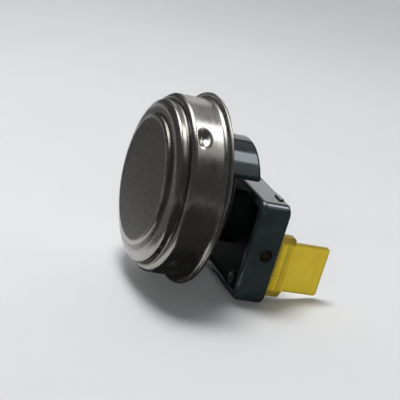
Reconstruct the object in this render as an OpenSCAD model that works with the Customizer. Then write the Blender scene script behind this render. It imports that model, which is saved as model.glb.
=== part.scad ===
// Seal-mounted bimetal temperature switch: a stepped steel cap with a rolled flange, a black
// moulded switch body behind it, and an open-fronted terminal housing with a yellow tongue.
// The axis of the cap is Y. The sensing face looks towards -Y and Y = 0 is the seat of the flange.

/* [Sensing cap] */
// Diameter of the flange
flange_d = 36; // [34:0.1:40]
// Width of the flange outside the cap's wall
flange_w = 1.3; // [1.1:0.05:1.6]
// Width of the shoulder between the wall and the raised ring
shoulder_w = 1.5; // [1.4:0.05:1.8]
// Width of the raised ring round the central face
ring_w = 2.9; // [2.2:0.05:3.1]
// Height of the sensing face above the flange seat
cap_h = 9.75; // [9.6:0.05:11]
// Height of the central face above the ring
face_step = 0.85; // [0.85:0.05:1.1]
// Height of the ring above the shoulder
ring_step = 2.15; // [2:0.05:2.3]
// Thickness of the drawn sheet
sheet_t = 0.5; // [0.4:0.05:0.55]
// Edge radius of the ring and of the shoulder
edge_r = 0.9; // [0.7:0.05:1]
// Edge radius of the central face
face_edge_r = 0.55; // [0.55:0.01:0.6]
// Radius where each step meets the level below it
foot_r = 0.3; // [0.2:0.05:0.3]
// Radius where the wall flares into the flange
flare_r = 0.7; // [0.5:0.05:0.75]
// Number of crimp dimples
dimple_n = 4; // [3:1:6]
// Angle of the first dimple, from +X towards +Z
dimple_angle = 52; // [0:1:89]
// Distance of the dimples from the flange seat
dimple_y = 4.2; // [4.1:0.05:4.3]
// Depth of a dimple
dimple_depth = 0.7; // [0.5:0.05:0.75]
// Half width of the dimple tool along the axis
dimple_half_w = 1.7; // [1.5:0.05:1.75]
// Half length of the dimple tool round the wall
dimple_half_l = 3.4; // [3:0.1:4]

/* [Thermal stack] */
// Gap between the bimetal disc's edge and the cap
bimetal_edge = 0.6; // [0.4:0.05:1]
// Thickness of the bimetal disc
bimetal_t = 0.35; // [0.25:0.05:0.4]
// Height of the bimetal disc's dish
bimetal_dish = 0.4; // [0.3:0.05:0.5]
// Travel of the bimetal disc when it snaps
snap_travel = 0.6; // [0.4:0.05:0.65]
// Gap between the cap's inner face and the bimetal disc
bimetal_gap = 0.2; // [0.15:0.05:0.3]
// Diameter of the transfer pin
pin_d = 2.4; // [2:0.1:3]
// Thickness of the seal ring's cord
seal_d = 1.3; // [1.1:0.05:1.4]

/* [Switch body] */
// Radial clearance of the body in the cap
body_gap = 0.3; // [0.2:0.05:0.4]
// Depth of the crimp groove round the body
groove_depth = 0.9; // [0.8:0.05:1.1]
// Width of the crimp groove
groove_w = 3; // [2.8:0.05:3.1]
// Distance of the body's rear face from the flange seat
collar_h = 0.9; // [0.8:0.05:1.2]
// Diameter of the switch chamber
chamber_d = 19.2; // [17.8:0.1:19.6]
// Diameter of the hub and of the arched tower
tower_d = 22.8; // [21.5:0.1:23]
// Distance of the hub's rear face from the flange seat
hub_h = 4.2; // [4:0.1:5]
// Thickness of the hub's rear wall
hub_back = 1.8; // [1.4:0.1:2]
// Distance of the tower's rear face from the flange seat
tower_h = 9.2; // [8.6:0.1:9.6]
// Height of the tower's flat underside above the axis
tower_flat = 6.1; // [5.6:0.1:6.6]
// Wall of the arched tower
tower_wall = 1.6; // [1.2:0.1:1.8]
// Edge radius at the tower's rear
tower_edge_r = 0.7; // [0.5:0.05:1]
// Diameter of the neck between the hub and the housing
neck_d = 18; // [17.6:0.1:19]
// Width of the core that reaches the housing's rear wall
core_w = 3.8; // [3.4:0.1:4]
// Distance of the core's lower end below the axis
core_drop = 7.6; // [7.2:0.1:8]

/* [Switch] */
// Depth of the chamber behind the contact arm's front face
arm_room = 3.7; // [3.5:0.1:3.8]
// Thickness of the contact arm
arm_t = 0.3; // [0.2:0.05:0.35]
// Width of the contact arm
arm_w = 3.2; // [2.6:0.1:3.6]
// Distance of the contact arm's pivot from the axis
arm_pivot = 5; // [4.9:0.05:5.1]
// Distance of the contacts from the axis
contact_x = 5; // [4.9:0.05:5.1]
// Diameter of the contact buttons
contact_d = 2.2; // [1.8:0.1:2.2]
// Height of each contact button
contact_h = 0.8; // [0.6:0.05:0.85]
// Length of the contact arm behind its pivot
arm_tail = 1.4; // [1.2:0.05:1.5]
// Length of the contact arm beyond the contacts
arm_tip = 1.2; // [1.1:0.05:1.4]
// Diameter of the contact arm's rivet
arm_rivet_d = 1.4; // [1.2:0.05:1.5]
// Diameter of the contact arm rivet's heads
arm_head_d = 2.4; // [2.3:0.05:2.6]
// Thickness of the contact arm rivet's heads
arm_head_t = 0.5; // [0.4:0.05:0.6]
// Gap between the transfer pin and the contact arm at rest
pin_play = 0.2; // [0.18:0.01:0.25]

/* [Terminal housing] */
// Width of the housing
housing_w = 28.2; // [27.8:0.1:30]
// Height of the housing
housing_h = 19.7; // [19.4:0.1:21]
// Depth of the housing, front to back
housing_depth = 6; // [5.8:0.1:6.6]
// Distance of the housing's open front from the flange seat
housing_y = 8.8; // [8.6:0.1:9.2]
// Height of the housing's top above the axis
housing_top = 3.8; // [3.6:0.1:4.2]
// Thickness of the housing's side walls
housing_wall = 1.7; // [1.4:0.05:1.8]
// Thickness of the housing's rear wall
housing_back = 1.8; // [1.5:0.05:2]
// Corner radius of the housing
housing_corner_r = 2; // [1.8:0.1:2.6]
// Chamfer round the housing's rear edge
housing_chamfer = 0.6; // [0.3:0.05:0.8]
// Diameter of the pin in the housing's side
side_pin_d = 2.4; // [2:0.1:2.8]
// Depth of the side pin below the housing's side face
side_pin_sink = 0.3; // [0.2:0.05:0.5]
// Distance of the side pin from the housing's rear face
side_pin_back = 2.4; // [2.3:0.05:2.6]
// Distance of the side pin below the axis
side_pin_drop = 6.1; // [5.6:0.1:6.6]
// Distance of each eyelet from the housing's side
eyelet_in = 4.9; // [4.3:0.1:5.1]
// Height of each eyelet above the housing's underside
eyelet_up = 2.9; // [2.8:0.05:3.1]
// Diameter of an eyelet's barrel
eyelet_d = 1.5; // [1.3:0.05:1.6]
// Thickness of an eyelet's sheet
eyelet_t = 0.3; // [0.2:0.05:0.35]
// Wall of the boss round each eyelet
eyelet_boss_wall = 0.55; // [0.45:0.05:0.6]
// Depth of the bosses behind the housing's open front
eyelet_sink = 0.6; // [0.5:0.05:0.8]
// Diameter of the rivets that hold the housing
rivet_d = 1.6; // [1.4:0.1:1.8]
// Distance between the housing rivets
rivet_pitch = 5; // [4.6:0.1:5.2]
// Diameter of the housing rivets' heads
rivet_head_d = 3.4; // [3:0.1:4]
// Height of the housing rivets' heads
rivet_head_h = 0.7; // [0.6:0.05:0.9]
// Edge radius of the housing rivets' heads
rivet_head_r = 0.45; // [0.3:0.05:0.55]
// Depth of the housing rivets in the core
rivet_depth = 3; // [2.5:0.1:3.2]
// Length of the catch on the housing's top
catch_l = 2.6; // [2:0.1:3.4]
// Height of the catch on the housing's top
catch_h = 0.5; // [0.3:0.05:0.7]
// Distance of the catch from the housing's side
catch_in = 4.8; // [4:0.1:6]

/* [Terminals] */
// Thickness of the terminal strip
strip_t = 0.8; // [0.6:0.05:0.85]
// Width of a blade
blade_w = 4.8; // [4.6:0.1:5]
// Length of a blade behind the housing
blade_l = 8.5; // [7:0.1:10]
// Gap between each blade and the eyelet boss beside it
blade_gap = 0.9; // [0.7:0.05:1]
// Diameter of the hole near the end of each blade
blade_hole_d = 1.3; // [1:0.1:1.6]
// Distance of the hole from the end of the blade
blade_hole_back = 3.2; // [2.6:0.1:3.8]
// Height of the blades above the housing's underside
blade_up = 3; // [2.9:0.05:3.2]
// Distance of each terminal's riser from the axis
riser_x = 7.4; // [7.3:0.05:7.5]
// Width of each riser
riser_w = 3.8; // [3.4:0.1:4]
// Distance of each riser's top edge above the axis
riser_top = 0.7; // [0.5:0.1:0.9]
// Width of each leg inside the housing
leg_w = 4; // [3.6:0.1:4.2]
// Depth of the legs behind the housing's open front
leg_sink = 1; // [0.8:0.05:1.2]

/* [Tongue] */
// Distance of the tongue's middle plane from the housing's side
tongue_in = 2.9; // [2.8:0.1:3.5]
// Thickness of the tongue's tab
tab_t = 0.9; // [0.7:0.05:1.2]
// Width of the tab
tab_w = 9.8; // [9:0.1:10.4]
// Length of the tab behind its collar
tab_l = 7.5; // [6.5:0.1:8.5]
// Corner radius of the tab
tab_corner_r = 0.6; // [0.4:0.05:0.9]
// Thickness of the collar
collar_t = 1.8; // [1.5:0.05:2]
// Width of the collar
collar_w = 12.1; // [11.5:0.1:12.6]
// Length of the collar
collar_l = 3.8; // [3.4:0.1:4.4]
// Corner radius of the collar
collar_corner_r = 1; // [0.7:0.05:1.2]
// Step from the collar to the root in the housing
root_step = 0.3; // [0.2:0.05:0.4]
// Distance of the tongue's middle below the axis
tongue_drop = 8.5; // [8:0.1:8.7]
// Height of the ribs across the collar
rib_h = 0.25; // [0.15:0.05:0.35]
// Width of the ribs across the collar
rib_w = 0.5; // [0.4:0.05:0.7]
// Distance between the two ribs
rib_pitch = 1.7; // [1.4:0.05:1.9]

/* [Clearances] */
// Radial clearance of the transfer pin in its guide
running_fit = 0.05; // [0.02:0.01:0.1]
// Clearance round pieces that pass through a slot or hole
slip_fit = 0.1; // [0.05:0.01:0.15]
// Gap between pieces that meet face to face
face_gap = 0.05; // [0.02:0.01:0.08]
// Gap round the bimetal disc and on each side of the contact arm
moving_gap = 0.3; // [0.25:0.05:0.35]

/* [Hidden] */
$fn = 64;
arc_steps = 6;

// Levels along the axis, from the sensing face to the rear
face_y = -cap_h;
ring_y = face_y + face_step;
shoulder_y = ring_y + ring_step;
disc_front_y = face_y + sheet_t + bimetal_gap;
disc_rim_y = disc_front_y + bimetal_dish + bimetal_t;
guide_y = disc_rim_y + snap_travel + moving_gap;
body_y = shoulder_y + sheet_t + face_gap;
pin_y = disc_front_y + bimetal_t + slip_fit;
chamber_back_y = hub_h - hub_back;
arm_y = chamber_back_y - arm_room;
fixed_y = arm_y - contact_h - face_gap;
fixed_foot_y = fixed_y - contact_h - strip_t;
arm_foot_y = arm_y + arm_t + moving_gap;
leg_y = housing_y + leg_sink;
housing_back_y = housing_y + housing_depth;
housing_floor_y = housing_back_y - housing_back;

// Diameters of the cap's steps
cap_d = flange_d - 2 * flange_w;
ring_d = cap_d - 2 * shoulder_w;
face_d = ring_d - 2 * ring_w;
bimetal_d = face_d - 2 * (sheet_t + bimetal_edge);

// Radii inside the cap
cap_inner_r = cap_d / 2 - sheet_t;
ring_inner_r = ring_d / 2 - sheet_t;
body_r = cap_inner_r - body_gap;
groove_r = body_r - groove_depth;
stack_r = ring_inner_r - body_gap;
seal_r = cap_inner_r - slip_fit - seal_d / 2;
seal_groove_w = seal_d + 2 * slip_fit;
seal_y = -(flare_r + seal_d / 2);

// Housing levels and the pieces in it
housing_bottom = housing_top - housing_h;
neck_top = housing_top - housing_wall - slip_fit;
riser_bottom = riser_top - riser_w;
blade_z = housing_bottom + blade_up;
eyelet_z = housing_bottom + eyelet_up;
eyelet_x = housing_w / 2 - eyelet_in;
eyelet_boss_d = eyelet_d + 2 * eyelet_boss_wall;
blade_x = eyelet_x - eyelet_boss_d / 2 - blade_gap - blade_w / 2;
catch_x = housing_w / 2 - catch_in;
tongue_x = housing_w / 2 - tongue_in;
eyelet_head_d = eyelet_d + 2 * eyelet_t;
eyelet_bore_d = eyelet_d - 2 * eyelet_t;
eyelet_y = housing_y + eyelet_sink;
rivet_z = (neck_top - core_drop) / 2;
rivet_y = housing_back_y + face_gap;
root_t = collar_t - 2 * root_step;
root_w = collar_w / 2;
root_l = housing_back + 2 * root_step;

// Extra length of the tools that cut through a face
cut_over = 0.4;

function unit(v) = v / norm(v);

// Quarter arc of radius r that rounds the right-angled corner p between the points a and b
function fillet(a, p, b, r) =
    let (d1 = unit(p - a), d2 = unit(b - p), c = p - d1 * r + d2 * r)
    [for (k = [0:arc_steps]) let (t = 90 * k / arc_steps) c - d2 * r * cos(t) + d1 * r * sin(t)];

// Path through pts with each inner corner rounded by its own radius
function rounded_path(pts, radii) = concat(
    [pts[0]],
    [for (i = [1:len(pts) - 2]) each fillet(pts[i - 1], pts[i], pts[i + 1], radii[i - 1])],
    [pts[len(pts) - 1]]);

// Rectangle from low to high with all four corners rounded
function rounded_rect(low, high, r) =
    let (c = [low, [high[0], low[1]], high, [low[0], high[1]]])
    [for (i = [0:3]) each fillet(c[(i + 3) % 4], c[i], c[(i + 1) % 4], r)];

// A revolved solid about the Y axis from an outline of (radius, y) points
module turned(outline) rotate([-90, 0, 0]) rotate_extrude() polygon(outline);

// A round bar along Y from y0 to y1, at x and z
module bar(x, z, d, y0, y1) translate([x, y0, z]) rotate([-90, 0, 0]) cylinder(d = d, h = y1 - y0);

// An outline in the XZ plane carried along Y from y0 to y1
module along_y(y0, y1) translate([0, y1, 0]) rotate([90, 0, 0]) linear_extrude(y1 - y0) children();

// An outline in the YZ plane carried along X from x0 to x1
module along_x(x0, x1) translate([x0, 0, 0]) rotate([90, 0, 90]) linear_extrude(x1 - x0) children();

// A block between two corners
module block(low, high) translate(low) cube(high - low);

// Both sides of the part, mirrored across X = 0
module both_sides() for (side = [0, 1]) mirror([side, 0, 0]) children();

// The dimple tool, a spheroid that is long round the wall, at each crimp position
module dimple_tools(grow)
    for (i = [0:dimple_n - 1])
        rotate([0, -dimple_angle - 360 * i / dimple_n, 0])
            translate([cap_d / 2 + dimple_half_w - dimple_depth, -dimple_y, 0])
                rotate_extrude()
                    polygon([for (a = [-90:15:90])
                        [(dimple_half_w + grow) * cos(a), (dimple_half_l + grow) * sin(a)]]);

// Sheet profile of the cap; shift moves the corners from the outer to the inner skin
function cap_skin(shift) = rounded_path(
    [[0, face_y + shift],
     [face_d / 2 - shift, face_y + shift], [face_d / 2 - shift, ring_y + shift],
     [ring_d / 2 - shift, ring_y + shift], [ring_d / 2 - shift, shoulder_y + shift],
     [cap_d / 2 - shift, shoulder_y + shift], [cap_d / 2 - shift, shift],
     [flange_d / 2, shift]],
    [face_edge_r - shift, foot_r + shift, edge_r - shift, foot_r + shift, edge_r - shift, flare_r + shift]);

module sensing_cap() color("silver")
    difference() {
        union() {
            turned(concat(cap_skin(0), [for (i = [len(cap_skin(sheet_t)) - 1:-1:0]) cap_skin(sheet_t)[i]]));
            intersection() {
                bar(0, 0, cap_d - sheet_t, -cap_h, 0);
                dimple_tools(sheet_t);
            }
        }
        dimple_tools(0);
    }

// Height of the dished disc's front at radius share s
function dish(s) = disc_front_y + bimetal_dish * s * s;

module bimetal_disc() color("lightslategray")
    turned(concat([for (k = [0:arc_steps]) [bimetal_d / 2 * k / arc_steps, dish(k / arc_steps)]],
                  [for (k = [arc_steps:-1:0])
                      [bimetal_d / 2 * k / arc_steps, dish(k / arc_steps) + bimetal_t]]));

module disc_retainer() color("gray")
    difference() {
        bar(0, 0, 2 * stack_r, ring_y + sheet_t + face_gap, guide_y - face_gap);
        bar(0, 0, bimetal_d + 2 * moving_gap, face_y, 0);
    }

module guide_plate() color("saddlebrown")
    difference() {
        bar(0, 0, 2 * stack_r, guide_y, body_y - face_gap);
        bar(0, 0, pin_d + 2 * running_fit, face_y, 0);
    }

module transfer_pin() color("ivory")
    bar(0, 0, pin_d, pin_y, arm_y - pin_play);

module seal_ring() color("firebrick")
    translate([0, seal_y, 0]) rotate([-90, 0, 0])
        rotate_extrude() translate([seal_r, 0]) circle(d = seal_d);

// Slots through the hub and the neck for the two terminal risers
module riser_slots()
    both_sides()
        block([riser_x - strip_t - slip_fit, chamber_back_y - cut_over, riser_bottom - slip_fit],
              [riser_x + slip_fit, leg_y + cut_over, riser_top + slip_fit]);

// The arch of the tower above its flat underside, cored out from below
module tower_arch()
    difference() {
        intersection() {
            turned(concat([[0, collar_h]],
                          rounded_path([[0, tower_h], [tower_d / 2, tower_h], [tower_d / 2, collar_h]],
                                       [tower_edge_r])));
            block([-tower_d, 0, tower_flat], [tower_d, housing_back_y, tower_d]);
        }
        intersection() {
            bar(0, 0, tower_d - 2 * tower_wall, hub_h, tower_h - tower_wall);
            block([-tower_d, 0, 0], [tower_d, housing_back_y, tower_d]);
        }
    }

// A stretch of the round neck with its top cut flat
module neck_part(y1, top)
    intersection() {
        bar(0, 0, neck_d, 0, y1);
        block([-neck_d, 0, -neck_d], [neck_d, housing_back_y, top]);
    }

// The neck behind the hub, stepped to enter the housing, and the core that carries the rivets
module neck() {
    neck_part(housing_y - slip_fit, housing_top - slip_fit);
    neck_part(leg_y - face_gap, neck_top);
    block([-core_w / 2, hub_h, -core_drop], [core_w / 2, housing_floor_y - face_gap, neck_top]);
}

// The two rivet positions on the core
module rivet_places()
    for (side = [-0.5, 0.5]) translate([0, 0, rivet_z + side * rivet_pitch]) children();

module switch_body() color("darkslategray")
    difference() {
        union() {
            bar(0, 0, 2 * body_r, body_y, collar_h);
            bar(0, 0, tower_d, 0, hub_h);
            tower_arch();
            neck();
        }
        bar(0, 0, chamber_d, body_y - cut_over, chamber_back_y);
        turned([[groove_r, -dimple_y - groove_w / 2], [body_r + body_gap, -dimple_y - groove_w / 2],
                [body_r + body_gap, -dimple_y + groove_w / 2], [groove_r, -dimple_y + groove_w / 2]]);
        turned([[seal_r - seal_d / 2 - slip_fit, seal_y - seal_groove_w / 2],
                [body_r + body_gap, seal_y - seal_groove_w / 2],
                [body_r + body_gap, seal_y + seal_groove_w / 2],
                [seal_r - seal_d / 2 - slip_fit, seal_y + seal_groove_w / 2]]);
        riser_slots();
        rivet_places() bar(0, 0, rivet_d + 2 * running_fit,
                           housing_floor_y - rivet_depth - slip_fit, housing_back_y);
    }

module contact_arm() color("darkgoldenrod")
    difference() {
        block([-arm_pivot - arm_tail, arm_y, -arm_w / 2], [contact_x + arm_tip, arm_y + arm_t, arm_w / 2]);
        bar(-arm_pivot, 0, arm_rivet_d + 2 * moving_gap, arm_y - arm_t, arm_y + 2 * arm_t);
    }

module moving_contact() color("gainsboro")
    bar(contact_x, 0, contact_d, arm_y - contact_h, arm_y);

module fixed_contact() color("gainsboro")
    bar(contact_x, 0, contact_d, fixed_y - contact_h, fixed_y);

module arm_rivet() color("peru") {
    bar(-arm_pivot, 0, arm_rivet_d, arm_y - moving_gap - arm_head_t, arm_foot_y + strip_t + arm_head_t);
    bar(-arm_pivot, 0, arm_head_d, arm_y - moving_gap - arm_head_t, arm_y - moving_gap);
    bar(-arm_pivot, 0, arm_head_d, arm_foot_y + strip_t, arm_foot_y + strip_t + arm_head_t);
}

// A terminal bent from strip: foot in the chamber, riser to the rear, leg down the housing, blade
module terminal(foot_y, foot_x) {
    block([foot_x, foot_y, riser_bottom], [riser_x, foot_y + strip_t, riser_w / 2]);
    block([riser_x - strip_t, foot_y, riser_bottom], [riser_x, leg_y + strip_t, riser_top]);
    along_y(leg_y, leg_y + strip_t)
        polygon([[riser_x - leg_w, riser_top], [riser_x, riser_top],
                 [riser_x, blade_z + blade_w], [blade_x + blade_w / 2, blade_z + blade_w / 2],
                 [blade_x + blade_w / 2, blade_z - strip_t / 2],
                 [blade_x - blade_w / 2, blade_z - strip_t / 2],
                 [blade_x - blade_w / 2, blade_z + blade_w / 2], [riser_x - leg_w, blade_z + blade_w]]);
    translate([0, 0, blade_z - strip_t / 2])
        linear_extrude(strip_t)
            difference() {
                polygon([[blade_x - blade_w / 2, leg_y], [blade_x + blade_w / 2, leg_y],
                         [blade_x + blade_w / 2, housing_back_y + blade_l - strip_t],
                         [blade_x + blade_w / 2 - strip_t, housing_back_y + blade_l],
                         [blade_x - blade_w / 2 + strip_t, housing_back_y + blade_l],
                         [blade_x - blade_w / 2, housing_back_y + blade_l - strip_t]]);
                translate([blade_x, housing_back_y + blade_l - blade_hole_back]) circle(d = blade_hole_d);
            }
}

module common_terminal() color("goldenrod")
    difference() {
        mirror([1, 0, 0]) terminal(arm_foot_y, arm_pivot - arm_head_d / 2);
        bar(-arm_pivot, 0, arm_rivet_d + 2 * running_fit, arm_y, chamber_back_y);
    }

module contact_terminal() color("goldenrod")
    terminal(fixed_foot_y, contact_x - contact_d / 2);

// Outline of the housing seen from the rear, drawn in by inset on every side
module housing_outline(inset)
    polygon(rounded_rect([-housing_w / 2 + inset, housing_bottom + inset],
                         [housing_w / 2 - inset, housing_top - inset], housing_corner_r - inset));

module terminal_housing() color("black")
    difference() {
        union() {
            difference() {
                hull() {
                    along_y(housing_y, housing_back_y - housing_chamfer) housing_outline(0);
                    along_y(housing_y, housing_back_y) housing_outline(housing_chamfer);
                }
                along_y(housing_y - cut_over, housing_floor_y) housing_outline(housing_wall);
            }
            both_sides() bar(eyelet_x, eyelet_z, eyelet_boss_d, eyelet_y, housing_back_y - housing_chamfer);
            block([catch_x - catch_l / 2, housing_back_y - housing_back, housing_top - housing_wall],
                  [catch_x + catch_l / 2, housing_back_y - housing_chamfer, housing_top + catch_h]);
        }
        rivet_places() bar(0, 0, rivet_d + 2 * running_fit, housing_y, housing_back_y + cut_over);
        both_sides()
            bar(eyelet_x, eyelet_z, eyelet_d + 2 * running_fit, housing_y, housing_back_y + cut_over);
        both_sides()
            block([blade_x - blade_w / 2 - slip_fit, leg_y, blade_z - strip_t / 2 - slip_fit],
                  [blade_x + blade_w / 2 + slip_fit, housing_back_y + cut_over,
                   blade_z + strip_t / 2 + slip_fit]);
        block([tongue_x - root_t / 2 - slip_fit, leg_y, -tongue_drop - root_w / 2 - slip_fit],
              [tongue_x + root_t / 2 + slip_fit, housing_back_y + cut_over,
               -tongue_drop + root_w / 2 + slip_fit]);
        translate([housing_w / 2 - housing_wall - cut_over, housing_back_y - side_pin_back, -side_pin_drop])
            rotate([0, 90, 0]) cylinder(d = side_pin_d + 2 * running_fit, h = housing_wall + 2 * cut_over);
    }

module housing_rivets() color("silver")
    rivet_places() {
        bar(0, 0, rivet_d, housing_floor_y - rivet_depth, rivet_y + face_gap);
        turned(concat([[0, rivet_y]],
                      rounded_path([[0, rivet_y + rivet_head_h], [rivet_head_d / 2, rivet_y + rivet_head_h],
                                    [rivet_head_d / 2, rivet_y]], [rivet_head_r])));
    }

module housing_eyelets() color("gold")
    both_sides()
        difference() {
            union() {
                bar(eyelet_x, eyelet_z, eyelet_d, eyelet_y - eyelet_t, housing_back_y + eyelet_t);
                bar(eyelet_x, eyelet_z, eyelet_head_d, eyelet_y - eyelet_t, eyelet_y - face_gap);
                bar(eyelet_x, eyelet_z, eyelet_head_d,
                    housing_back_y + face_gap, housing_back_y + eyelet_t);
            }
            bar(eyelet_x, eyelet_z, eyelet_bore_d, housing_y - cut_over, housing_back_y + 2 * eyelet_t);
        }

module side_pin() color("sienna")
    translate([housing_w / 2 - housing_wall, housing_back_y - side_pin_back, -side_pin_drop])
        rotate([0, 90, 0]) cylinder(d = side_pin_d, h = housing_wall - side_pin_sink);

module insulating_tongue() color("gold") {
    along_x(tongue_x - tab_t / 2, tongue_x + tab_t / 2)
        polygon(rounded_rect([housing_back_y + collar_corner_r, -tongue_drop - tab_w / 2],
                             [housing_back_y + collar_l + tab_l, -tongue_drop + tab_w / 2], tab_corner_r));
    along_x(tongue_x - collar_t / 2, tongue_x + collar_t / 2)
        polygon(rounded_path([[housing_back_y + face_gap, -tongue_drop - collar_w / 2],
                              [housing_back_y + collar_l, -tongue_drop - collar_w / 2],
                              [housing_back_y + collar_l, -tongue_drop + collar_w / 2],
                              [housing_back_y + face_gap, -tongue_drop + collar_w / 2]],
                             [tab_corner_r, collar_corner_r]));
    for (back = [0, rib_pitch])
        block([tongue_x - collar_t / 2 - rib_h, housing_back_y + collar_l - back - rib_w,
               -tongue_drop - collar_w / 2 + collar_corner_r],
              [tongue_x + collar_t / 2 + rib_h, housing_back_y + collar_l - back,
               -tongue_drop + collar_w / 2 - collar_corner_r]);
    block([tongue_x - root_t / 2, housing_back_y - root_l, -tongue_drop - root_w / 2],
          [tongue_x + root_t / 2, housing_back_y + collar_corner_r, -tongue_drop + root_w / 2]);
}

sensing_cap();
bimetal_disc();
disc_retainer();
guide_plate();
transfer_pin();
seal_ring();
switch_body();
contact_arm();
moving_contact();
fixed_contact();
arm_rivet();
common_terminal();
contact_terminal();
terminal_housing();
housing_rivets();
housing_eyelets();
side_pin();
insulating_tongue();
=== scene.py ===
import bmesh
import bpy
import numpy as np
from mathutils import Matrix, Vector


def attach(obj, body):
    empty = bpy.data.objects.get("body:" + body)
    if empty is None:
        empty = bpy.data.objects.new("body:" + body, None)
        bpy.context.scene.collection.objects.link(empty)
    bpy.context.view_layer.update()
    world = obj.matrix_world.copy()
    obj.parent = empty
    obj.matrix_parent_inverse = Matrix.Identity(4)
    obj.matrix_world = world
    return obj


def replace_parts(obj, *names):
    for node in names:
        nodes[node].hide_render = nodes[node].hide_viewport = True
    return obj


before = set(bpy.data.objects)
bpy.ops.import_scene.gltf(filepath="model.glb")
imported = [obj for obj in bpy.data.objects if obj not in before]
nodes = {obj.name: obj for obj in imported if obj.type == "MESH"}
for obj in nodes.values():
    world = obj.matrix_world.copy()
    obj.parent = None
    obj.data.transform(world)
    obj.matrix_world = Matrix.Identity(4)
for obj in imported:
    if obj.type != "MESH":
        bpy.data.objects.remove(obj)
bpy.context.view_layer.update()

# SENSING CAP
# One stainless sheet, deep-drawn into a raised face, a ring, a straight wall and a flange. Four dimples
# pressed into the wall lock it on the switch body. The face is left dull, the steps are polished by the die.
MM = 0.001


def rounded_path(corners, radii, steps):
    """Path with each inner corner replaced by a quarter of an ellipse: centre - d2 r2 cos t + d1 r1 sin t,
    with t from 0 to 90 degrees. A radius is one number, or a pair for the ways into and out of the corner."""
    corners = np.asarray(corners, float)
    t = np.linspace(0, np.pi / 2, steps)[:, None]
    parts = [corners[:1]]
    for before, corner, after, r in zip(corners, corners[1:], corners[2:], radii):
        r1, r2 = np.broadcast_to(r, 2)
        d1 = (corner - before) / np.linalg.norm(corner - before)
        d2 = (after - corner) / np.linalg.norm(after - corner)
        parts.append(corner - d1 * r1 + d2 * r2 - d2 * r2 * np.cos(t) + d1 * r1 * np.sin(t))
    return np.concatenate(parts + [corners[-1:]])


def spaced(path, gap):
    """The same path with points added along its length, so that none are further apart than the gap."""
    length = np.r_[0, np.cumsum(np.linalg.norm(np.diff(path, axis=0), axis=1))]
    at = np.unique(np.r_[length, np.arange(0, length[-1], gap)])
    at = at[np.r_[True, np.diff(at) > 1e-4]]
    return np.column_stack([np.interp(at, length, path[:, k]) for k in (0, 1)])


def skin(name, grid, ends=False):
    """Mesh object over a grid of points (rows, columns, 3) in millimetres. Columns close on themselves,
    the end rows meet in a pole or are closed by a flat face, and the normals point outwards."""
    rows, columns = grid.shape[:2]
    index = np.arange(rows * columns).reshape(rows, columns)
    a, b = index[:-1], np.roll(index, -1, axis=1)[:-1]
    c, d = np.roll(index, -1, axis=1)[1:], index[1:]
    faces = np.stack([a, b, c, d], axis=-1).reshape(-1, 4).tolist()
    if ends:
        faces += [index[0].tolist(), index[-1].tolist()]
    mesh = bpy.data.meshes.new(name)
    mesh.from_pydata((grid.reshape(-1, 3) * MM).tolist(), [], faces)
    work = bmesh.new()
    work.from_mesh(mesh)
    bmesh.ops.remove_doubles(work, verts=work.verts, dist=1e-8)
    bmesh.ops.recalc_face_normals(work, faces=work.faces)
    work.to_mesh(mesh)
    work.free()
    mesh.polygons.foreach_set("use_smooth", np.ones(len(mesh.polygons), bool))
    piece = bpy.data.objects.new(name, mesh)
    bpy.context.scene.collection.objects.link(piece)
    return piece


def turned(outline, columns):
    """Grid of a solid turned about Y: a point (r, y) goes round as (r cos a, y, r sin a)."""
    angle = np.linspace(0, 2 * np.pi, columns, endpoint=False)
    r, y = outline[:, :1], outline[:, 1:]
    return np.stack([r * np.cos(angle), np.broadcast_to(y, (len(outline), columns)), r * np.sin(angle)], -1)


FACE_R, RING_R, WALL_R, FLANGE_R = 12.3, 15.2, 16.7, 18.0
FACE_Y, RING_Y, SHOULDER_Y, SHEET, RIM_R = -9.75, -8.9, -6.75, 0.5, 0.1


def cap_corners(t):
    """Corners of the cap's skin from the axis to the rim, moved inwards by the depth t in the sheet."""
    return [(0, FACE_Y + t), (FACE_R - t, FACE_Y + t), (FACE_R - t, RING_Y + t), (RING_R - t, RING_Y + t),
            (RING_R - t, SHOULDER_Y + t), (WALL_R - t, SHOULDER_Y + t), (WALL_R - t, t), (FLANGE_R, t)]


def cap_radii(t):
    """Edge radii of the cap's skin: outer edges tighten and inner corners open with the depth t. The ring's
    edge and foot are long and shallow, so the ring is crowned, and the flare starts early on the wall."""
    return [(0.9 - t, 0.55 - t), (0.3 + t, 0.85 + t), (1.95 - t, 0.95 - t), (0.55 + t, 0.4 + t),
            (1.05 - t, 0.9 - t), (1.0 + t, 0.7 + t)]


outer_skin = spaced(rounded_path(cap_corners(0), cap_radii(0), 12), 0.25)
inner_skin = spaced(rounded_path(cap_corners(SHEET), cap_radii(SHEET), 6), 0.6)
rim_t = np.linspace(-np.pi / 2, np.pi / 2, 7)[1:-1]
rim = np.column_stack([FLANGE_R - RIM_R + RIM_R * np.cos(rim_t), SHEET / 2 + SHEET / 2 * np.sin(rim_t)])
outer_skin[-1, 0] -= RIM_R
inner_skin[-1, 0] -= RIM_R
cap_outline = np.concatenate([outer_skin, rim, inner_skin[::-1]])
cap_grid = turned(cap_outline, 360)

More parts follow.
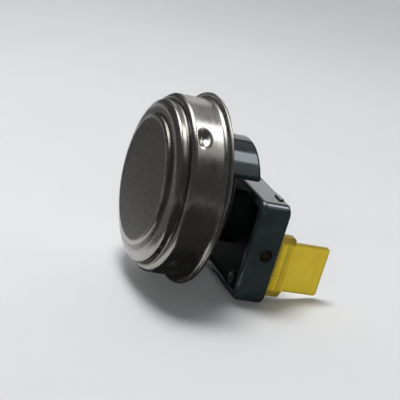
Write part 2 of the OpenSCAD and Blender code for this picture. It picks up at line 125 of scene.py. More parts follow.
# Each dimple is a dent (1 - q)^3, q the squared distance from its deepest point in half lengths. It is steep
# towards the face, and runs out gently towards the flange.
DIMPLE_ANGLE, DIMPLE_Y, DIMPLE_DEPTH = 50, -4.85, 0.72
DIMPLE_FRONT, DIMPLE_REAR, DIMPLE_HALF_L = 1.2, 2.1, 2.8
radius = np.hypot(cap_grid[..., 0], cap_grid[..., 2])
turn = np.arctan2(cap_grid[..., 2], cap_grid[..., 0])
level = cap_grid[..., 1]
press = np.zeros_like(radius)
across = (level - DIMPLE_Y) / np.where(level < DIMPLE_Y, DIMPLE_FRONT, DIMPLE_REAR)
for quarter in range(4):
    around = turn - np.radians(DIMPLE_ANGLE + 90 * quarter)
    around = WALL_R * (np.mod(around + np.pi, 2 * np.pi) - np.pi) / DIMPLE_HALF_L
    press = np.maximum(press, DIMPLE_DEPTH * np.clip(1 - around**2 - across**2, 0, None)**3)
wall = (radius > WALL_R - 2 * SHEET) & (level > SHOULDER_Y + 0.6) & (level < -0.9)
# Drawing leaves the steps and the wall a little out of round, by a few hundredths of a millimetre.
sag = 0.012 * np.sin(3 * turn + 0.6) + 0.008 * np.sin(5 * turn + level) + 0.005 * np.sin(11 * turn)
pressed = radius - np.where(wall, press, 0) + sag * np.clip(radius - FACE_R, 0, 1) * (radius < WALL_R + 0.2)
cap_grid[..., 0] = pressed * np.cos(turn)
cap_grid[..., 2] = pressed * np.sin(turn)
cap = skin("cap_shell", cap_grid)
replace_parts(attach(cap, "case"), "sensing_cap")


def feed(tree, socket, value):
    """Links the socket to another one, or sets it to a plain value."""
    if isinstance(value, bpy.types.NodeSocket):
        tree.links.new(value, socket)
    else:
        socket.default_value = value


def add(tree, kind, inputs=None):
    """A node of that kind, its inputs taken from sockets or plain values."""
    node = tree.nodes.new(kind)
    for name, value in (inputs or {}).items():
        feed(tree, node.inputs[name], value)
    return node


def finish(name, **fixed):
    """A new Principled material, its node tree and its shader, with the fixed values on their own sockets."""
    material = bpy.data.materials.new(name)
    material.use_nodes = True
    shader = material.node_tree.nodes["Principled BSDF"]
    for socket, value in fixed.items():
        shader.inputs[socket.replace("_", " ")].default_value = value
    return material, material.node_tree, shader


def noise(tree, vector, scale, detail=4.0, rough=0.55):
    """Noise from 0 to 1 at that many features to the unit of the vector."""
    keys = {"Vector": vector, "Scale": scale, "Detail": detail, "Roughness": rough}
    return add(tree, "ShaderNodeTexNoise", keys).outputs["Fac"]


def ramp(tree, value, stops):
    """Colour that goes through the stops, each a position and a red, green and blue."""
    node = add(tree, "ShaderNodeValToRGB", {"Fac": value})
    line = node.color_ramp.elements
    while len(line) < len(stops):
        line.new(0.5)
    for element, (position, colour) in zip(line, stops):
        element.position = position
        element.color = (*colour, 1)
    return node.outputs["Color"]


def span(tree, value, low, high, to_low, to_high):
    """The value carried from the range low to high on to another range, and held at its ends."""
    keys = {"Value": value, "From Min": low, "From Max": high, "To Min": to_low, "To Max": to_high}
    return add(tree, "ShaderNodeMapRange", keys).outputs["Result"]


def mixed(tree, share, one, other):
    """Colour between one and other by the share, on the colour sockets of a Mix node. A colour is a socket
    or a red, green and blue."""
    node = tree.nodes.new("ShaderNodeMix")
    node.data_type = "RGBA"
    for place, value in ((0, share), (6, one), (7, other)):
        feed(tree, node.inputs[place], (*value, 1) if isinstance(value, tuple) else value)
    return node.outputs[2]


def maths(tree, operation, one, other=0.0):
    """One sum of two values or sockets."""
    node = tree.nodes.new("ShaderNodeMath")
    node.operation = operation
    for socket, value in zip(node.inputs, (one, other)):
        feed(tree, socket, value)
    return node.outputs[0]


def vector_maths(tree, operation, one, other=(0, 0, 0)):
    """One vector sum of two vectors or sockets."""
    node = tree.nodes.new("ShaderNodeVectorMath")
    node.operation = operation
    for socket, value in zip(node.inputs, (one, other)):
        feed(tree, socket, value)
    return node.outputs["Value" if operation in ("LENGTH", "DOT_PRODUCT") else "Vector"]


def rough_relief(tree, shader, height, strength, distance):
    """Bump on the shader from a height from 0 to 1, over a distance in metres."""
    bump = add(tree, "ShaderNodeBump", {"Height": height, "Strength": strength, "Distance": distance})
    tree.links.new(bump.outputs["Normal"], shader.inputs["Normal"])


steel, tree, shader = finish("stainless_cap", Metallic=1.0)
place = add(tree, "ShaderNodeTexCoord").outputs["Object"]
across_axis = vector_maths(tree, "MULTIPLY", place, (1, 0, 1))
off_axis = vector_maths(tree, "LENGTH", across_axis)
round_axis = vector_maths(tree, "NORMALIZE", across_axis)
along_axis = add(tree, "ShaderNodeSeparateXYZ", {"Vector": place}).outputs["Y"]
dull = span(tree, off_axis, (FACE_R - 1.1) * MM, (FACE_R - 0.8) * MM, 1, 0)
# Fine lines of the drawing die and of polishing run round the axis, on the wall and on the steps.
profile = add(tree, "ShaderNodeCombineXYZ", {"X": off_axis, "Y": along_axis}).outputs["Vector"]
lengths = vector_maths(tree, "MULTIPLY", round_axis, (1.2, 1.2, 1.2))
lathe = vector_maths(tree, "ADD", vector_maths(tree, "MULTIPLY", profile, (2600, 2600, 2600)), lengths)
die_lines = noise(tree, lathe, 1.0)
fine_lines = noise(tree, lathe, 2.6, 2.0)
grit = noise(tree, place, 2900, 3.0, 0.7)
tone_and_shade = noise(tree, place, 210, 5.0)
polished = ramp(tree, tone_and_shade, [(0.3, (0.39, 0.376, 0.35)), (0.7, (0.51, 0.495, 0.465))])
blasted = ramp(tree, grit, [(0.36, (0.158, 0.152, 0.138)), (0.66, (0.325, 0.313, 0.285))])
# Painted shade: the colour is darkened in the two grooves at the feet of the face and of the ring, where
# shade falls.
grooves = [maths(tree, "MULTIPLY", span(tree, off_axis, start * MM, (start + 0.25) * MM, 0, 1),
                 span(tree, off_axis, (end - 0.5) * MM, end * MM, 1, 0))
           for start, end in ((FACE_R - 0.2, FACE_R + 1.0), (RING_R - 0.1, RING_R + 0.8))]
groove_shade = maths(tree, "MULTIPLY", maths(tree, "MAXIMUM", *grooves), span(tree, tone_and_shade, 0.3, 0.7, 0.5, 0.85))
bare = mixed(tree, dull, polished, blasted)
tree.links.new(mixed(tree, groove_shade, bare, (0.06, 0.056, 0.05)), shader.inputs["Base Color"])
scuffs = span(tree, die_lines, 0.35, 0.7, 0.0, 0.12)
scuffs = maths(tree, "ADD", scuffs, span(tree, tone_and_shade, 0.35, 0.75, 0.17, 0.24))
tree.links.new(maths(tree, "MAXIMUM", scuffs, span(tree, dull, 0, 1, 0, 0.52)), shader.inputs["Roughness"])
scratches = maths(tree, "MULTIPLY", die_lines, 0.4)
scratches = maths(tree, "ADD", scratches, maths(tree, "MULTIPLY", fine_lines, 0.35))
rough_relief(tree, shader, maths(tree, "ADD", scratches, maths(tree, "MULTIPLY", grit, dull)), 0.16, 0.00004)
cap.data.materials.append(steel)

# THERMAL STACK AND SWITCH
# Behind the face lie the bimetal disc in its steel retainer, a phenolic guide plate and the ceramic pin that
# pushes the bronze contact arm. All of it is inside the closed cap, with a rubber ring as seal.


def plain_finish(name, dark, light, rough, metallic=0.0):
    """A finish that wanders between two colours, with roughness and relief from the same fine noise."""
    material, tree, shader = finish(name, Metallic=metallic)
    place = add(tree, "ShaderNodeTexCoord").outputs["Object"]
    cloud = noise(tree, place, 225, 5.0)
    fine = noise(tree, place, 3600, 3.0, 0.65)
    tree.links.new(ramp(tree, cloud, [(0.3, dark), (0.7, light)]), shader.inputs["Base Color"])
    tree.links.new(span(tree, fine, 0.3, 0.7, rough[0], rough[1]), shader.inputs["Roughness"])
    rough_relief(tree, shader, fine, 0.3, 0.00002)
    return material


def wear(piece, material):
    """The material on the piece, in place of what it came with."""
    piece.data.materials.clear()
    piece.data.materials.append(material)


def dress(material, *names):
    """The material on these CAD nodes."""
    for name in names:
        wear(nodes[name], material)


dress(plain_finish("bimetal", (0.45, 0.42, 0.38), (0.58, 0.55, 0.50), (0.28, 0.4), 1.0), "bimetal_disc")
dress(plain_finish("plated_steel", (0.5, 0.5, 0.5), (0.64, 0.64, 0.63), (0.25, 0.4), 1.0), "disc_retainer")
dress(plain_finish("phenolic_plate", (0.2, 0.11, 0.06), (0.3, 0.18, 0.1), (0.45, 0.6)), "guide_plate")
dress(plain_finish("ceramic", (0.78, 0.75, 0.68), (0.88, 0.85, 0.79), (0.5, 0.65)), "transfer_pin")
dress(plain_finish("seal_rubber", (0.36, 0.08, 0.05), (0.48, 0.11, 0.08), (0.6, 0.75)), "seal_ring")
dress(plain_finish("contact_spring", (0.58, 0.4, 0.18), (0.7, 0.5, 0.25), (0.22, 0.36), 1.0), "contact_arm")
dress(plain_finish("contact_silver", (0.74, 0.73, 0.7), (0.84, 0.83, 0.8), (0.2, 0.34), 1.0),
      "moving_contact", "fixed_contact")

# SWITCH BODY
# One black phenolic moulding: a collar inside the cap's flange, a hub, the arched tower above it with its
# flat open underside, and the neck and core that carry the terminal housing.


def miter(outline):
    """Outward move at each point of a closed anticlockwise outline that carries both its edges out by one."""
    edge = np.roll(outline, -1, axis=0) - outline
    edge = edge / np.linalg.norm(edge, axis=1, keepdims=True)
    out = np.column_stack([edge[:, 1], -edge[:, 0]])
    before = np.roll(out, 1, axis=0)
    return (out + before) / (1 + (out * before).sum(axis=1, keepdims=True))


def moulding(name, outline, steps, axis):
    """Solid whose outline, drawn in by each step's inset, is carried along an axis to that step's level.
    Along Y the outline is in x and z, along X in y and z, along Z in x and y."""
    inset, level = np.asarray(steps, float).T
    flat = outline[None] - inset[:, None, None] * miter(outline)[None]
    depth = np.broadcast_to(level[:, None], flat.shape[:2])
    a, b = flat[..., 0], flat[..., 1]
    order = {"x": (depth, a, b), "y": (a, depth, b), "z": (a, b, depth)}[axis]
    piece = skin(name, np.stack(order, -1), ends=True)
    piece.modifiers.new("flat_faces", "WEIGHTED_NORMAL").keep_sharp = False
    return piece


def soft_ends(low, high, low_r, high_r, steps=6):
    """Steps of a straight solid from low to high with its two end edges rounded: inset r(1 - sin t) and
    level r(1 - cos t)."""
    t = np.linspace(0, np.pi / 2, steps)
    start = np.column_stack([low_r * (1 - np.sin(t)), low + low_r * (1 - np.cos(t))])
    end = np.column_stack([high_r * (1 - np.sin(t)), high - high_r * (1 - np.cos(t))])
    return np.concatenate([start, end[::-1]])


def rounded_rect(low, high, r, steps=7):
    """Anticlockwise outline of a rectangle with rounded corners: four quarter arcs about inset corners."""
    t = np.linspace(0, np.pi / 2, steps)
    left, right, lower, upper = low[0] + r, high[0] - r, low[1] + r, high[1] - r
    centres = [(right, upper), (left, upper), (left, lower), (right, lower)]
    arcs = [np.column_stack([x + r * np.cos(t + k * np.pi / 2), z + r * np.sin(t + k * np.pi / 2)])
            for k, (x, z) in enumerate(centres)]
    return np.concatenate(arcs)


def segment(r, flat, above=True, corner=0.35, columns=72):
    """Anticlockwise outline of the part of a circle above or below a level line: an arc of (r cos t, r sin t)
    and the line, with the two corners between them eased."""
    half = np.arccos(np.clip(flat / r, -1, 1))
    ease = corner / r
    end = r * np.sin(half) - 1.4 * corner
    if above:
        t = np.linspace(np.pi / 2 - half + ease, np.pi / 2 + half - ease, columns)
        line = np.array([(-end, flat), (end, flat)])
    else:
        t = np.linspace(np.pi / 2 + half + ease, np.pi / 2 - half + 2 * np.pi - ease, columns)
        line = np.array([(end, flat), (-end, flat)])
    return np.concatenate([np.column_stack([r * np.cos(t), r * np.sin(t)]), line])


def disc(x, z, r, columns=40):
    """Anticlockwise circle about a point."""
    t = np.linspace(0, 2 * np.pi, columns, endpoint=False)
    return np.column_stack([x + r * np.cos(t), z + r * np.sin(t)])


BODY_R, COLLAR_Y, HUB_R, HUB_Y, TOWER_Y, TOWER_FLAT = 15.9, 0.9, 11.4, 4.2, 9.2, 6.1
BODY_FRONT, CHAMBER_R, CHAMBER_BACK, TOWER_WALL = -6.2, 9.6, 2.4, 1.6
NECK_R, NECK_BACK, CORE_HALF, CORE_LOW, CORE_TOP, CORE_BACK = 9.0, 9.75, 1.9, -7.6, 2.0, 12.95
RISER_X, RISER_HALF, RISER_LOW, RISER_TOP, RIVETS_Z, RIVET_HOLE_R = 7.0, 0.5, -3.2, 0.8, (-0.3, -5.3), 0.85
HOUSING_Y, HOUSING_BACK, HOUSING_TOP, HOUSING_LOW, HOUSING_HALF = 8.8, 14.8, 3.8, -15.9, 14.1
# The hub is turned, with the switch chamber open to the front and a groove each for the dimples and the seal:
# the groove's radius, and its start and end along Y.
hub_corners = [(0, CHAMBER_BACK), (CHAMBER_R, CHAMBER_BACK), (CHAMBER_R, BODY_FRONT), (BODY_R, BODY_FRONT)]
for groove_r, start, end in ((15.0, -5.7, -2.7), (14.7, -2.1, -0.6)):
    hub_corners += [(BODY_R, start), (groove_r, start), (groove_r, end), (BODY_R, end)]
hub_corners += [(BODY_R, COLLAR_Y), (HUB_R, COLLAR_Y), (HUB_R, HUB_Y), (0, HUB_Y)]
hub_outline = spaced(rounded_path(hub_corners, [0.2] * 3 + [0.1] * 8 + [0.3, 0.25, 0.3], 6), 1.2)
hub = skin("body_hub", turned(hub_outline, 160))
tower_steps = soft_ends(COLLAR_Y - 0.4, TOWER_Y, 0.05, 0.7, 8)
tower = moulding("body_tower", segment(HUB_R, TOWER_FLAT), tower_steps, "y")
neck_steps = soft_ends(HUB_Y - 0.5, HOUSING_Y - 0.1, 0.05, 0.15)
neck = moulding("body_neck", segment(NECK_R, HOUSING_TOP - 0.1, above=False), neck_steps, "y")
neck_end_steps = soft_ends(HUB_Y, NECK_BACK, 0.05, 0.2)
neck_end = moulding("body_neck_end", segment(NECK_R - 0.02, CORE_TOP, above=False), neck_end_steps, "y")
core_outline = rounded_rect((-CORE_HALF, CORE_LOW), (CORE_HALF, CORE_TOP), 0.25)
core = moulding("body_core", core_outline, soft_ends(HUB_Y, CORE_BACK, 0.05, 0.1), "y")
hollow_steps = soft_ends(HUB_Y, TOWER_Y - TOWER_WALL, 0.02, 0.5)
hollow = moulding("tower_hollow", segment(HUB_R - TOWER_WALL, TOWER_FLAT - 3), hollow_steps, "y")


def cut(piece, *tools):
    """Takes the tools' solids out of the piece, keeps the result as its mesh and removes the tools."""
    flat_faces = "flat_faces" in piece.modifiers
    piece.modifiers.clear()
    for tool in tools:
        step = piece.modifiers.new("cut", "BOOLEAN")
        step.operation, step.solver, step.object = "DIFFERENCE", "EXACT", tool
    bpy.context.view_layer.update()
    shaped = piece.evaluated_get(bpy.context.evaluated_depsgraph_get())
    piece.data = bpy.data.meshes.new_from_object(shaped)
    piece.modifiers.clear()
    for tool in tools:
        bpy.data.objects.remove(tool)
    if flat_faces:
        piece.modifiers.new("flat_faces", "WEIGHTED_NORMAL").keep_sharp = False


def riser_slots():
    """Tools for the two slots that take the terminals' risers through the hub and the neck."""
    outlines = [rounded_rect((x - RISER_HALF, RISER_LOW), (x + RISER_HALF, RISER_TOP), 0.05)
                for x in (RISER_X, -RISER_X)]
    steps = soft_ends(CHAMBER_BACK - 0.4, 10.2, 0.01, 0.01)
    return [moulding("riser_slot", outline, steps, "y") for outline in outlines]


chamber = moulding("chamber", disc(0, 0, CHAMBER_R, 160), soft_ends(-1, CHAMBER_BACK, 0.01, 0.2), "y")
cut(tower, hollow, chamber)
rivet_reach = soft_ends(9.9, CORE_BACK + 1.05, 0.01, 0.01)
cut(core, *[moulding("rivet_hole", disc(0, z, RIVET_HOLE_R), rivet_reach, "y") for z in RIVETS_Z])
for piece in (hub, neck, neck_end):
    cut(piece, *riser_slots())


def phenolic(name, skin_gloss, dark, light):
    """Black phenolic: near black between two tones, with a fine flow ripple and a few dull patches. The
    moulded skin's gloss is a coat from 0 to 1."""
    # The blue tint on its reflections is painted in, for a bluish light that the lamps do not give.
    material, tree, shader = finish(name, IOR=1.5, Specular_Tint=(0.72, 0.89, 1.0, 1.0),
                                    Coat_Weight=skin_gloss, Coat_Roughness=0.06)
    place = add(tree, "ShaderNodeTexCoord").outputs["Object"]
    cloud = noise(tree, place, 260, 5.0)
    fine = noise(tree, place, 3200, 3.0, 0.65)
    tree.links.new(ramp(tree, cloud, [(0.3, dark), (0.7, light)]), shader.inputs["Base Color"])
    dullness = span(tree, cloud, 0.35, 0.7, 0.10, 0.18)
    dullness = maths(tree, "ADD", dullness, span(tree, fine, 0.3, 0.7, 0, 0.06))
    tree.links.new(dullness, shader.inputs["Roughness"])
    ripple = maths(tree, "ADD", maths(tree, "MULTIPLY", cloud, 2.0), maths(tree, "MULTIPLY", fine, 0.25))
    rough_relief(tree, shader, ripple, 0.3, 0.00005)
    return material


body_black = phenolic("body_phenolic", 0.5, (0.006, 0.008, 0.009), (0.011, 0.0145, 0.0155))
# Inside the housing the moulding is left as it came, without a polish, and it is coloured darker than
# outside: painted shade for the shaded inside of the housing.
shaded_black = plain_finish("shaded_dull_phenolic", (0.002, 0.0026, 0.0026), (0.005, 0.006, 0.006), (0.5, 0.7))
shaded_black.node_tree.nodes["Principled BSDF"].inputs["Specular IOR Level"].default_value = 0.08
for piece in (hub, tower, neck, neck_end, core):
    wear(piece, body_black if piece in (hub, tower) else shaded_black)
    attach(piece, "case")
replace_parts(hub, "switch_body")

# TERMINAL HOUSING
# A shallow black phenolic tray with its open side to the front, riveted to the body's core. It has a boss for
# each eyelet, a small catch on its top edge and a hole in its side, plugged by a brown pin.
SIDE_WALL, BACK_WALL = 1.7, 1.8
REAR_EDGE, FRONT_EDGE, LIP_EDGE, FLOOR_EDGE = 0.6, 1.2, 0.25, 0.2
tray_outline = rounded_rect((-HOUSING_HALF, HOUSING_LOW), (HOUSING_HALF, HOUSING_TOP), 2.0, 9)
t = np.linspace(0, np.pi / 2, 6)
tray_steps = np.concatenate([
    np.column_stack([REAR_EDGE * (1 - np.sin(t)), HOUSING_BACK - REAR_EDGE * (1 - np.cos(t))]),
    np.column_stack([FRONT_EDGE * (1 - np.cos(t)), HOUSING_Y + FRONT_EDGE * (1 - np.sin(t))]),
    np.column_stack([SIDE_WALL - LIP_EDGE * (1 - np.sin(t)), HOUSING_Y + LIP_EDGE * (1 - np.cos(t))]),
    np.column_stack([SIDE_WALL + FLOOR_EDGE * (1 - np.cos(t)),
                     HOUSING_BACK - BACK_WALL - FLOOR_EDGE * (1 - np.sin(t))])])
tray = moulding("housing_tray", tray_outline, tray_steps, "y")
PIN_Y, PIN_Z, PIN_R, FIT = 12.4, -6.1, 1.2, 0.05
pin_reach = soft_ends(HOUSING_HALF - 1.0, HOUSING_HALF + 1.0, 0.01, 0.01)
cut(tray, moulding("pin_hole", disc(PIN_Y, PIN_Z, PIN_R + FIT), pin_reach, "x"))
EYELET_X, EYELET_Z, BOSS_R = 9.2, -13.0, 1.3
bosses = [moulding("eyelet_boss_" + side, disc(x, EYELET_Z, BOSS_R), soft_ends(9.4, 13.4, 0.2, 0.05), "y")
          for side, x in (("right", EYELET_X), ("left", -EYELET_X))]
catch_outline = rounded_rect((8.0, 13.2), (10.6, 14.2), 0.25)
catch = moulding("housing_catch", catch_outline, soft_ends(3.0, HOUSING_TOP + 0.3, 0.05, 0.15), "z")
# A thin web in front of the terminals' legs, cut out round the neck, closes the tray behind its front rim. It
# is near black, a dark sheet that paints the shade inside the housing.
web_half, web_margin = HOUSING_HALF - SIDE_WALL + FIT, SIDE_WALL - FIT
web_outline = rounded_rect((-web_half, HOUSING_LOW + web_margin), (web_half, HOUSING_TOP - web_margin), 0.4)
web = moulding("housing_web", web_outline, soft_ends(9.36, 9.76, 0.05, 0.05), "y")
through = soft_ends(8.0, 11.0, 0.01, 0.01)
cut(web, moulding("neck_hole", disc(0, 0, NECK_R + FIT, 96), through, "y"),
    *[moulding("boss_hole", disc(x, EYELET_Z, BOSS_R + FIT), through, "y") for x in (EYELET_X, -EYELET_X)])
housing_black = phenolic("housing_phenolic", 1.0, (0.016, 0.0215, 0.0215), (0.027, 0.035, 0.0355))
for piece in (tray, *bosses, catch):
    wear(piece, housing_black)
    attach(piece, "case")
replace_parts(tray, "terminal_housing")
wear(web, shaded_black)
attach(web, "case")
# The plug is dished, and sits a little below the housing's side.
PLUG_FACE = HOUSING_HALF - 0.3
plug_steps = [(0.02, HOUSING_HALF - SIDE_WALL), (0.02, PLUG_FACE - 0.12), (0.14, PLUG_FACE),
              (0.42, PLUG_FACE), (0.56, PLUG_FACE - 0.1), (0.68, PLUG_FACE - 0.4)]
plug = moulding("side_plug", disc(PIN_Y, PIN_Z, PIN_R), plug_steps, "x")
brown, tree, shader = finish("brown_plug", Specular_IOR_Level=0.3)
place = add(tree, "ShaderNodeTexCoord").outputs["Object"]
cloud = noise(tree, place, 900, 5.0)
from_axis = vector_maths(tree, "SUBTRACT", place, (0, PIN_Y * MM, PIN_Z * MM))
from_axis = vector_maths(tree, "LENGTH", vector_maths(tree, "MULTIPLY", from_axis, (0, 1, 1)))
# Painted shade: the plug's face is near black round its rim, where it sits down in the hole, and brown at its
# middle.
shaded_rim = ramp(tree, cloud, [(0.3, (0.003, 0.0025, 0.002)), (0.7, (0.007, 0.005, 0.004))])
brown_core = ramp(tree, cloud, [(0.3, (0.020, 0.013, 0.008)), (0.7, (0.040, 0.025, 0.015))])
core_share = span(tree, from_axis, 0.0004, 0.0008, 1, 0)
tree.links.new(mixed(tree, core_share, shaded_rim, brown_core), shader.inputs["Base Color"])
tree.links.new(span(tree, cloud, 0.3, 0.7, 0.45, 0.65), shader.inputs["Roughness"])
plug.data.materials.append(brown)
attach(plug, "case")
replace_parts(plug, "side_pin")

# TERMINALS, RIVETS AND EYELETS
# Brass strip bent into two legs and blades, and zinc-plated rivets and eyelets closed over in the housing.
brass = plain_finish("terminal_brass", (0.48, 0.37, 0.18), (0.64, 0.51, 0.27), (0.25, 0.42), 1.0)
dress(brass, "common_terminal", "contact_terminal", "arm_rivet")
rivet_steel = plain_finish("rivet_steel", (0.5, 0.49, 0.47), (0.68, 0.67, 0.65), (0.2, 0.38), 1.0)
dress(rivet_steel, "housing_rivets")
# Painted shade: the eyelets' zinc is darker than the rivets' steel, for their ends lie in the housing's
# shade.
shaded_zinc = plain_finish("shaded_zinc", (0.2, 0.196, 0.185), (0.36, 0.35, 0.33), (0.28, 0.45), 1.0)
dress(shaded_zinc, "housing_eyelets")

# TONGUE
# A yellow moulded tongue, pushed into a slot in the housing's rear wall: a ribbed collar and a flat tab.
TONGUE_X, TONGUE_Z, TAB_START, TAB_END, TAB_HALF = 11.2, -8.5, 15.8, 26.1, 4.9
COLLAR_END, RIB_W, RIB_STEP, RIB_HALF = 18.6, 0.5, 1.7, 5.05


def plate(name, start, end, half, corner, thick, edge):
    """Flat plate about the tongue's middle plane and axis, from start to end along Y and half its width to
    either side, with rounded corners and soft edges."""
    outline = rounded_rect((start, TONGUE_Z - half), (end, TONGUE_Z + half), corner)
    return moulding(name, outline, soft_ends(TONGUE_X - thick / 2, TONGUE_X + thick / 2, edge, edge), "x")


front_rib_end = COLLAR_END - RIB_STEP
tongue = [plate("tongue_tab", TAB_START, TAB_END, TAB_HALF, 0.6, 0.9, 0.15),
          plate("tongue_collar", 14.85, COLLAR_END, 6.05, 0.8, 1.8, 0.25),
          plate("tongue_rib_rear", COLLAR_END - RIB_W, COLLAR_END, RIB_HALF, 0.2, 2.3, 0.15),
          plate("tongue_rib_front", front_rib_end - RIB_W, front_rib_end, RIB_HALF, 0.2, 2.3, 0.15),
          plate("tongue_root", 12.4, TAB_START, 3.025, 0.1, 1.2, 0.05)]
yellow, tree, shader = finish("yellow_moulding", IOR=1.5)
place = add(tree, "ShaderNodeTexCoord").outputs["Object"]
cloud = noise(tree, place, 240, 5.0)
fine = noise(tree, place, 2800, 3.0, 0.65)
body = ramp(tree, cloud, [(0.3, (0.74, 0.55, 0.012)), (0.7, (0.86, 0.66, 0.027))])
# A brown line runs along the edges of the tab: the distance inside its outline, in metres.
tab_middle = (0, 0.5 * (TAB_START + TAB_END) * MM, TONGUE_Z * MM)
from_middle = vector_maths(tree, "ABSOLUTE", vector_maths(tree, "SUBTRACT", place, tab_middle))
tab_reach = (0, 0.5 * (TAB_END - TAB_START) * MM, TAB_HALF * MM)
inside = vector_maths(tree, "SUBTRACT", tab_reach, from_middle)
inside = add(tree, "ShaderNodeSeparateXYZ", {"Vector": inside})
inside = maths(tree, "MINIMUM", inside.outputs["Y"], inside.outputs["Z"])
dark_edge_line = span(tree, inside, -0.0001, 0.00045, 1, 0)
dark_edge_line = maths(tree, "MULTIPLY", dark_edge_line, span(tree, cloud, 0.3, 0.6, 0.5, 0.95))
# Painted shade: the same brown is laid in the groove between the collar's two ribs.
along = add(tree, "ShaderNodeSeparateXYZ", {"Vector": place}).outputs["Y"]
rib_groove_shade = span(tree, along, (COLLAR_END - 1.8) * MM, (COLLAR_END - 1.3) * MM, 0, 1)
groove_end = span(tree, along, (COLLAR_END - 1.0) * MM, (COLLAR_END - 0.5) * MM, 0.4, 0)
rib_groove_shade = maths(tree, "MULTIPLY", rib_groove_shade, groove_end)
amber = ramp(tree, noise(tree, place, 110, 3.0), [(0.45, (0.0, 0.0, 0.0)), (0.75, (0.35, 0.35, 0.35))])
tint = mixed(tree, amber, body, (0.66, 0.42, 0.010))
# The brown of the edge line and the painted shade in the groove are laid on together.
tone_and_shade = maths(tree, "MAXIMUM", dark_edge_line, rib_groove_shade)
tree.links.new(mixed(tree, tone_and_shade, tint, (0.17, 0.112, 0.008)), shader.inputs["Base Color"])
tree.links.new(span(tree, fine, 0.3, 0.7, 0.36, 0.52), shader.inputs["Roughness"])
rough_relief(tree, shader, fine, 0.35, 0.00003)
for piece in tongue:
    piece.data.materials.append(yellow)
    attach(piece, "case")
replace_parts(tongue[0], "insulating_tongue")

# FLOOR, LIGHT AND CAMERA
# The part lies on a pale sheet, on the flange's rim and the housing's lower edge. A key lamp overhead, a low
# fill and a broad panel light it, and lamps that only reflections meet give the steel and gloss their sheen.
FLOOR_GAP, FLOOR_REACH = 0.03, 900
LEAN = np.arctan2(HOUSING_LOW + FLANGE_R, HOUSING_BACK - REAR_EDGE - SHEET)


def open_sheet(name, grid):
    """Open sheet over a grid of points (rows, columns, 3) in millimetres."""
    index = np.arange(grid[..., 0].size).reshape(grid.shape[:2])
    quads = np.stack([index[:-1, :-1], index[1:, :-1], index[1:, 1:], index[:-1, 1:]], -1).reshape(-1, 4)
    mesh = bpy.data.meshes.new(name)
    mesh.from_pydata((grid.reshape(-1, 3) * MM).tolist(), [], quads.tolist())
    sheet = bpy.data.objects.new(name, mesh)
    bpy.context.scene.collection.objects.link(sheet)
    return sheet


reach = np.linspace(-FLOOR_REACH, FLOOR_REACH, 25)
floor_x, floor_run = np.meshgrid(reach, reach, indexing="ij")
floor_z = -FLANGE_R - FLOOR_GAP + floor_run * np.sin(LEAN)
floor = open_sheet("floor", np.stack([floor_x, SHEET + floor_run * np.cos(LEAN), floor_z], -1))
PALE_SIDE = Vector((-0.877, 0.383, 0.289)).normalized()
PALE = (0.67, 0.68, 0.69)


def seen_rays(tree):
    """1 for rays from the camera, off gloss and through clear pieces, and 0 for the rest."""
    path = add(tree, "ShaderNodeLightPath").outputs
    bounced = maths(tree, "MAXIMUM", path["Is Glossy Ray"], path["Is Transmission Ray"])
    return maths(tree, "MAXIMUM", path["Is Camera Ray"], bounced)


sheet, tree, shader = finish("pale_sheet", Roughness=0.85, Specular_IOR_Level=0.1)
place = add(tree, "ShaderNodeTexCoord").outputs["Object"]
tone = noise(tree, place, 18, 4.0)
near_tone = ramp(tree, tone, [(0.3, (0.91, 0.92, 0.93)), (0.7, (0.94, 0.95, 0.96))])
# Painted shade: away from the camera, on the pale side, the sheet is coloured a little darker.
away_shade_tone = ramp(tree, tone, [(0.3, (0.82, 0.83, 0.84)), (0.7, (0.85, 0.86, 0.87))])
away = span(tree, vector_maths(tree, "DOT_PRODUCT", place, tuple(PALE_SIDE)), 0.0, 0.25, 0, 1)
tree.links.new(mixed(tree, away, near_tone, away_shade_tone), shader.inputs["Base Color"])
# Far from the part the sheet runs out into the pale of the room, for the camera and for reflections.
far = span(tree, vector_maths(tree, "LENGTH", place), 0.30, 0.60, 0, 1)
share = maths(tree, "MULTIPLY", seen_rays(tree), far)
pale = add(tree, "ShaderNodeEmission", {"Color": (*PALE, 1), "Strength": 1.0}).outputs["Emission"]
run_out = add(tree, "ShaderNodeMixShader", {0: share, 1: shader.outputs["BSDF"], 2: pale})
tree.links.new(run_out.outputs["Shader"], tree.nodes["Material Output"].inputs["Surface"])
wear(floor, sheet)


def floor_card(x_low, y_low, x_high, y_high):
    """Corners of a card just above the floor, which rises from the flange's rim as (y - sheet) tan(lean)."""
    x, y = np.meshgrid((x_low, x_high), (y_low, y_high), indexing="ij")
    return np.stack([x, y, 0.1 - FLANGE_R + (y - SHEET) * np.tan(LEAN)], -1)


# Dark cards lie round the part, and a dark tent stands on the camera's side and overhead, to keep the steel's
# reflections dark there. Only reflections meet them. The tent is a sphere, open towards the pale side.
TENT_R, TENT_OPENING = 800, 12
around = np.linspace(0, 2 * np.pi, 48)
polar, azimuth = np.meshgrid(np.radians(np.linspace(TENT_OPENING, 179, 30)), around, indexing="ij")
side = PALE_SIDE.orthogonal().normalized()
axes = np.array([side, PALE_SIDE.cross(side), PALE_SIDE])
tent = np.stack([np.sin(polar) * np.cos(azimuth), np.sin(polar) * np.sin(azimuth), np.cos(polar)], -1)
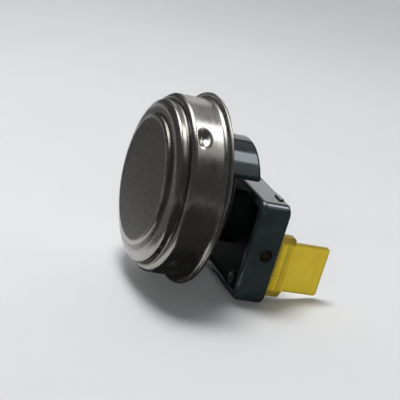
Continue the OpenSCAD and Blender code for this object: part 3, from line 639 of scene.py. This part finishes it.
# Each card and the tent glow faintly: painted light, for the dim light of the room on them.
for name, grid, low, high in (("side_card", floor_card(-2, -8, 400, 200), 0.006, 0.014),
                              ("front_card", floor_card(-300, -300, 23, -23), 0.085, 0.115),
                              ("near_card", floor_card(24, -300, 400, -8), 0.006, 0.014),
                              ("black_tent", TENT_R * tent @ axes, 0.042, 0.056)):
    card = open_sheet(name, grid)
    card.visible_camera = card.visible_diffuse = card.visible_shadow = False
    cloth, tree, shader = finish(name + "_cloth", Base_Color=(0.02, 0.02, 0.02, 1), Roughness=0.9,
                                 Emission_Strength=1.0)
    place = add(tree, "ShaderNodeTexCoord").outputs["Object"]
    glow = ramp(tree, noise(tree, place, 9), [(0.3, (low, low, low)), (0.7, (high, high, high))])
    tree.links.new(glow, shader.inputs["Emission Color"])
    wear(card, cloth)


def softbox(name, towards, distance, width, height, power, lights=True, mirrored=True):
    """Area lamp on a direction from the part, turned to face it, with its sizes and distance in metres. One
    that only lights does not show in gloss, and one that is only mirrored is a sheen on metal and gloss."""
    lamp = bpy.data.lights.new(name, "AREA")
    lamp.shape, lamp.size, lamp.size_y, lamp.energy = "RECTANGLE", width, height, power
    stand = bpy.data.objects.new(name, lamp)
    stand.location = Vector(towards).normalized() * distance
    stand.rotation_euler = stand.location.to_track_quat("Z", "Y").to_euler()
    stand.visible_diffuse, stand.visible_glossy = lights, mirrored
    bpy.context.scene.collection.objects.link(stand)


softbox("key_softbox", (-0.22, -0.22, 0.95), 0.45, 0.15, 0.15, 1.26, mirrored=False)
softbox("key_sheen", (-0.33, -0.27, 0.91), 0.45, 0.32, 0.32, 1.02, lights=False)
softbox("rear_sheen", (-0.09, 0.42, 0.90), 0.45, 0.16, 0.15, 0.31, lights=False)
softbox("rear_skirt", (0.24, 0.42, 0.87), 0.45, 0.22, 0.15, 0.065, lights=False)
softbox("rear_panel", (-0.55, 0.0, 0.83), 0.70, 0.90, 0.90, 0.66)
softbox("front_fill", (0.95, -0.33, 0.16), 0.60, 0.60, 0.22, 1.20, mirrored=False)

# The room gives a weak light, paler on the side away from the camera, and looks pale itself.
world = bpy.data.worlds.new("studio")
bpy.context.scene.world = world
world.use_nodes = True
tree = world.node_tree
direction = add(tree, "ShaderNodeTexCoord").outputs["Generated"]
behind = vector_maths(tree, "DOT_PRODUCT", direction, tuple(PALE_SIDE))
room = ramp(tree, span(tree, behind, -1, 1, 0, 1),
            [(0.4, (0.05, 0.05, 0.052)), (0.7, (0.10, 0.102, 0.105)), (0.95, (0.45, 0.46, 0.47))])
tree.links.new(mixed(tree, seen_rays(tree), room, PALE), tree.nodes["Background"].inputs["Color"])

# The camera stands on the tongue's side, a little to the front and above, as in the photograph.
CAMERA_PLACE = Vector((195.8, -82.8, 63.0)) * MM
camera_data = bpy.data.cameras.new("camera")
camera_data.sensor_width, camera_data.lens = 36, 107.04
camera_data.shift_x, camera_data.shift_y = -0.00246, -0.0078
camera_data.clip_start, camera_data.clip_end = 0.01, 10
camera = bpy.data.objects.new("camera", camera_data)
back = Vector((0.877, -0.383, 0.289)).normalized()
right = Vector((0.306, 0.911, 0.278))
right = (right - right.dot(back) * back).normalized()
up = back.cross(right)
turn_matrix = Matrix((right, up, back)).transposed().to_4x4()
camera.matrix_world = Matrix.Translation(CAMERA_PLACE) @ turn_matrix
bpy.context.scene.collection.objects.link(camera)
bpy.context.scene.camera = camera
bpy.context.scene.view_settings.view_transform = "Standard"

bpy.context.view_layer.update()
